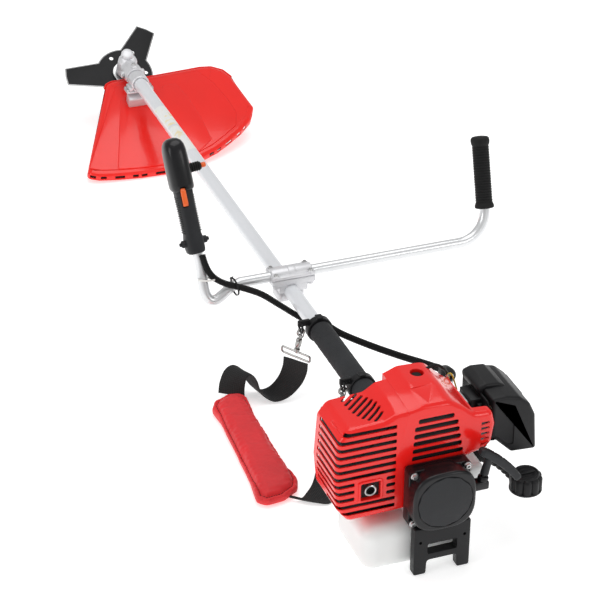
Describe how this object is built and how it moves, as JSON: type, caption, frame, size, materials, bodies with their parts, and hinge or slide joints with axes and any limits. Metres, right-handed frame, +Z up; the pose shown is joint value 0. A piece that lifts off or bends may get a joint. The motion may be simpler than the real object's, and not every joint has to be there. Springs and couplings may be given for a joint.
{
  "type": "petrol brush cutter",
  "caption": "Petrol brush cutter: straight tube shaft, loop handlebar with throttle grip, toothed blade under a guard, engine on a stand, padded shoulder strap.",
  "frame": {"origin": "on the floor under the middle of the bounding box, standing on the engine stand and the guard", "axes": "+Z up, +Y along the shaft from the engine towards the blade, +X to the operator's right"},
  "size_m": [0.6212, 1.7936, 0.4192],
  "materials": {
    "red_plastic": "glossy moulded",
    "black_plastic": "fine moulded grain",
    "silver_tube": "silver white enamel",
    "cast_alloy": "as cast, lightly bead blasted",
    "steel": "machined",
    "foam": "closed-cell foam",
    "rubber": "moulded",
    "chrome": "bright plated",
    "blade_steel": "black painted, ground edges",
    "orange_plastic": "satin",
    "conduit_plastic": "corrugated",
    "tank_plastic": "natural translucent",
    "webbing": "woven polypropylene",
    "pad_cloth": "quilted nylon",
    "filter_felt": "felt",
    "rope": "braided nylon"
  },
  "bodies": {
    "root": {"shaft_tube": "silver_tube", "foam_sleeve": "foam", "front_hanger": "black_plastic", "front_hanger_ring": "chrome", "rear_hanger": "black_plastic", "rear_hanger_ring": "chrome", "handlebar": "silver_tube", "handlebar_clamp_block": "cast_alloy", "handlebar_clamp_cap": "cast_alloy", "plain_grip": "rubber", "throttle_grip": "black_plastic", "throttle_conduit": "conduit_plastic", "conduit_boot": "rubber", "gear_case": "cast_alloy", "guard": "red_plastic", "guard_bracket": "cast_alloy", "piston": "cast_alloy", "crankcase": "cast_alloy", "clutch_housing": "black_plastic", "cylinder": "cast_alloy", "spark_plug": "steel", "plug_cap": "rubber", "starter_housing": "black_plastic", "stand": "black_plastic", "muffler_cover": "red_plastic", "cylinder_cover": "red_plastic", "muffler": "steel", "fuel_tank": "tank_plastic", "carburettor": "cast_alloy", "air_filter_base": "black_plastic", "air_filter_element": "filter_felt", "air_filter_cover": "black_plastic", "front_snap_hook": "chrome", "rear_snap_hook": "chrome", "front_strap_slider": "chrome", "rear_strap_slider": "chrome", "strap_front_webbing": "webbing", "strap_rear_webbing": "webbing", "shoulder_pad": "pad_cloth"},
    "crank": {"crankshaft": "steel", "flywheel": "cast_alloy", "clutch_shoes": "steel"},
    "cutter": {"blade": "blade_steel", "output_gear": "steel", "blade_adapter": "steel", "blade_cup": "steel", "blade_nut": "steel"},
    "driveline": {"drive_shaft": "steel", "clutch_drum": "steel", "input_pinion": "steel"},
    "pull_handle": {"starter_handle": "black_plastic", "starter_rope": "rope"},
    "recoil_pulley": {"starter_pulley": "black_plastic"},
    "trigger": {"throttle_trigger": "orange_plastic"},
    "lockout": {"lockout_lever": "orange_plastic"},
    "switch": {"stop_switch": "orange_plastic"},
    "filler_cap": {"fuel_cap": "black_plastic"},
    "throttle_arm": {"carb_throttle_arm": "steel"},
    "choke": {"choke_lever": "black_plastic"},
    "primer": {"primer_bulb": "rubber"}
  },
  "joints": [
    {"name": "crank_spin", "type": "hinge", "parent": "root", "child": "crank", "pos_m": [-0.09497, -0.76679, 0.135], "axis": [0, 1, 0], "continuous": true},
    {"name": "blade_spin", "type": "hinge", "parent": "root", "child": "cutter", "pos_m": [-0.09497, 0.80063, 0.10783], "axis": [0, 0.5446, -0.8387], "continuous": true},
    {"name": "driveline_spin", "type": "hinge", "parent": "root", "child": "driveline", "pos_m": [-0.09497, 0.00321, 0.135], "axis": [0, 1, 0], "continuous": true},
    {"name": "starter_pull", "type": "slide", "parent": "root", "child": "pull_handle", "axis": [0.2402, 0, 0.9707], "range_m": [0, 0.45], "stiffness_N_per_m": 20, "springref_m": -0.2},
    {"name": "recoil_pulley_spin", "type": "hinge", "parent": "root", "child": "recoil_pulley", "pos_m": [-0.09497, -0.85679, 0.135], "axis": [0, 1, 0], "range_deg": [-980, 0]},
    {"name": "throttle_squeeze", "type": "hinge", "parent": "root", "child": "trigger", "pos_m": [-0.26899, -0.13017, 0.34011], "axis": [-0.9959, -0.0307, -0.0846], "range_deg": [0, 12], "stiffness_Nm_per_rad": 0.5, "springref_deg": -8.59},
    {"name": "lockout_press", "type": "hinge", "parent": "root", "child": "lockout", "pos_m": [-0.27316, -0.15688, 0.3398], "axis": [0.9959, 0.0307, 0.0846], "range_deg": [0, 6], "stiffness_Nm_per_rad": 0.3, "springref_deg": -8.59},
    {"name": "stop_switch_press", "type": "slide", "parent": "root", "child": "switch", "axis": [-0.9959, -0.0307, -0.0846], "range_m": [0, 0.003], "stiffness_N_per_m": 300, "springref_m": -0.003},
    {"name": "fuel_cap_turn", "type": "hinge", "parent": "root", "child": "filler_cap", "pos_m": [0.06203, -0.85179, 0.11], "axis": [0, 0, 1], "continuous": true},
    {"name": "throttle_arm_turn", "type": "hinge", "parent": "root", "child": "throttle_arm", "pos_m": [-0.02897, -0.76729, 0.2335], "axis": [0, 0, 1], "range_deg": [0, 50]},
    {"name": "choke_swing", "type": "hinge", "parent": "root", "child": "choke", "pos_m": [0.00203, -0.79579, 0.202], "axis": [0, -1, 0], "range_deg": [0, 60]},
    {"name": "primer_press", "type": "slide", "parent": "root", "child": "primer", "axis": [0, 0, 1], "range_m": [0, 0.003], "stiffness_N_per_m": 300, "springref_m": -0.003}
  ],
  "couplings": [
    {"joint": "driveline_spin", "follows": "blade_spin", "ratio": 1.3571},
    {"joint": "recoil_pulley_spin", "follows": "starter_pull", "rad_per_m": -37},
    {"joint": "throttle_arm_turn", "follows": "throttle_squeeze", "ratio": 4}
  ]
}
